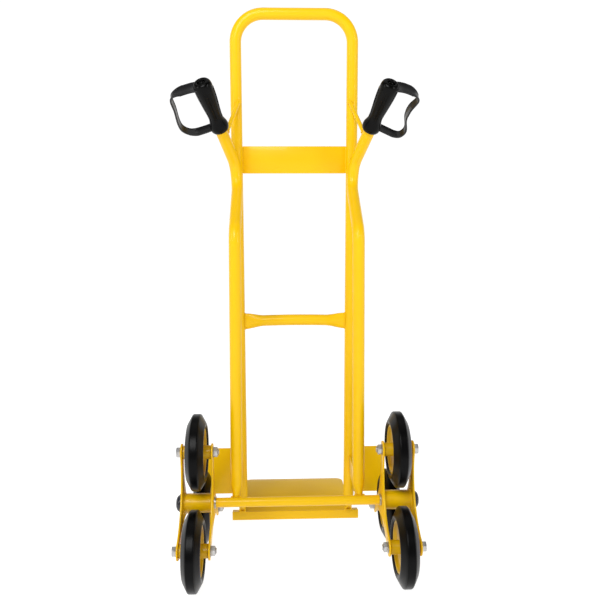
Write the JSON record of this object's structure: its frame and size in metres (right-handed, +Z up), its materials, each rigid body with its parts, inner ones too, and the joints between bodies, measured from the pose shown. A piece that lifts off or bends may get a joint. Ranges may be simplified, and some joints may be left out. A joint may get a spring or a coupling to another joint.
{
  "type": "stair-climbing hand truck",
  "caption": "Upright steel tube hand truck for carrying loads up stairs, with a toe plate, angled handles with hand guards, and rotating star clusters of rubber-tyred wheels.",
  "frame": {"origin": "on the floor, in the middle of the outline seen from above", "axes": "+Z is up; +Y points towards the load side, where the toe plate is; +X is the right hand of the person who pushes it"},
  "size_m": [0.5142, 0.558, 1.1772],
  "materials": {
    "yellow_paint": "satin yellow powder coat",
    "tyre_rubber": "moulded solid rubber",
    "grip_rubber": "matte",
    "guard_plastic": "fine grained",
    "cap_plastic": "glossy",
    "zinc_steel": "bright zinc plated",
    "bush_plastic": "moulded"
  },
  "bodies": {
    "frame": {"loop_frame": "yellow_paint", "cross_plate": "yellow_paint", "crossbar": "yellow_paint", "left_rear_rail": "yellow_paint", "right_rear_rail": "yellow_paint", "left_handle_brace": "yellow_paint", "right_handle_brace": "yellow_paint", "left_grip": "grip_rubber", "right_grip": "grip_rubber", "left_hand_guard": "guard_plastic", "right_hand_guard": "guard_plastic", "left_wheel_guard": "yellow_paint", "right_wheel_guard": "yellow_paint", "toe_plate": "yellow_paint", "toe_angle": "yellow_paint", "axle_tube": "yellow_paint", "axle_rod": "zinc_steel", "left_axle_washer": "zinc_steel", "right_axle_washer": "zinc_steel", "left_axle_cap": "cap_plastic", "right_axle_cap": "cap_plastic", "left_axle_link": "yellow_paint", "right_axle_link": "yellow_paint"},
    "left_cluster": {"left_inner_star": "yellow_paint", "left_outer_star": "yellow_paint", "left_hub_sleeve": "yellow_paint", "left_top_bolt": "zinc_steel", "left_top_nut": "zinc_steel", "left_top_bush": "bush_plastic", "left_rear_bolt": "zinc_steel", "left_rear_nut": "zinc_steel", "left_rear_bush": "bush_plastic", "left_front_bolt": "zinc_steel", "left_front_nut": "zinc_steel", "left_front_bush": "bush_plastic"},
    "left_top_wheel": {"left_top_rim": "yellow_paint", "left_top_tyre": "tyre_rubber"},
    "left_rear_wheel": {"left_rear_rim": "yellow_paint", "left_rear_tyre": "tyre_rubber"},
    "left_front_wheel": {"left_front_rim": "yellow_paint", "left_front_tyre": "tyre_rubber"},
    "right_cluster": {"right_inner_star": "yellow_paint", "right_outer_star": "yellow_paint", "right_hub_sleeve": "yellow_paint", "right_top_bolt": "zinc_steel", "right_top_nut": "zinc_steel", "right_top_bush": "bush_plastic", "right_rear_bolt": "zinc_steel", "right_rear_nut": "zinc_steel", "right_rear_bush": "bush_plastic", "right_front_bolt": "zinc_steel", "right_front_nut": "zinc_steel", "right_front_bush": "bush_plastic"},
    "right_top_wheel": {"right_top_rim": "yellow_paint", "right_top_tyre": "tyre_rubber"},
    "right_rear_wheel": {"right_rear_rim": "yellow_paint", "right_rear_tyre": "tyre_rubber"},
    "right_front_wheel": {"right_front_rim": "yellow_paint", "right_front_tyre": "tyre_rubber"}
  },
  "joints": [
    {"name": "left_cluster_turn", "type": "hinge", "parent": "frame", "child": "left_cluster", "pos_m": [-0.2105, -0.103, 0.135], "axis": [1, 0, 0], "continuous": true},
    {"name": "left_top_wheel_roll", "type": "hinge", "parent": "left_cluster", "child": "left_top_wheel", "pos_m": [-0.2105, -0.103, 0.247], "axis": [1, 0, 0], "continuous": true},
    {"name": "left_rear_wheel_roll", "type": "hinge", "parent": "left_cluster", "child": "left_rear_wheel", "pos_m": [-0.2105, -0.2, 0.079], "axis": [1, 0, 0], "continuous": true},
    {"name": "left_front_wheel_roll", "type": "hinge", "parent": "left_cluster", "child": "left_front_wheel", "pos_m": [-0.2105, -0.00601, 0.079], "axis": [1, 0, 0], "continuous": true},
    {"name": "right_cluster_turn", "type": "hinge", "parent": "frame", "child": "right_cluster", "pos_m": [0.2105, -0.103, 0.135], "axis": [1, 0, 0], "continuous": true},
    {"name": "right_top_wheel_roll", "type": "hinge", "parent": "right_cluster", "child": "right_top_wheel", "pos_m": [0.2105, -0.103, 0.247], "axis": [1, 0, 0], "continuous": true},
    {"name": "right_rear_wheel_roll", "type": "hinge", "parent": "right_cluster", "child": "right_rear_wheel", "pos_m": [0.2105, -0.2, 0.079], "axis": [1, 0, 0], "continuous": true},
    {"name": "right_front_wheel_roll", "type": "hinge", "parent": "right_cluster", "child": "right_front_wheel", "pos_m": [0.2105, -0.00601, 0.079], "axis": [1, 0, 0], "continuous": true}
  ]
}
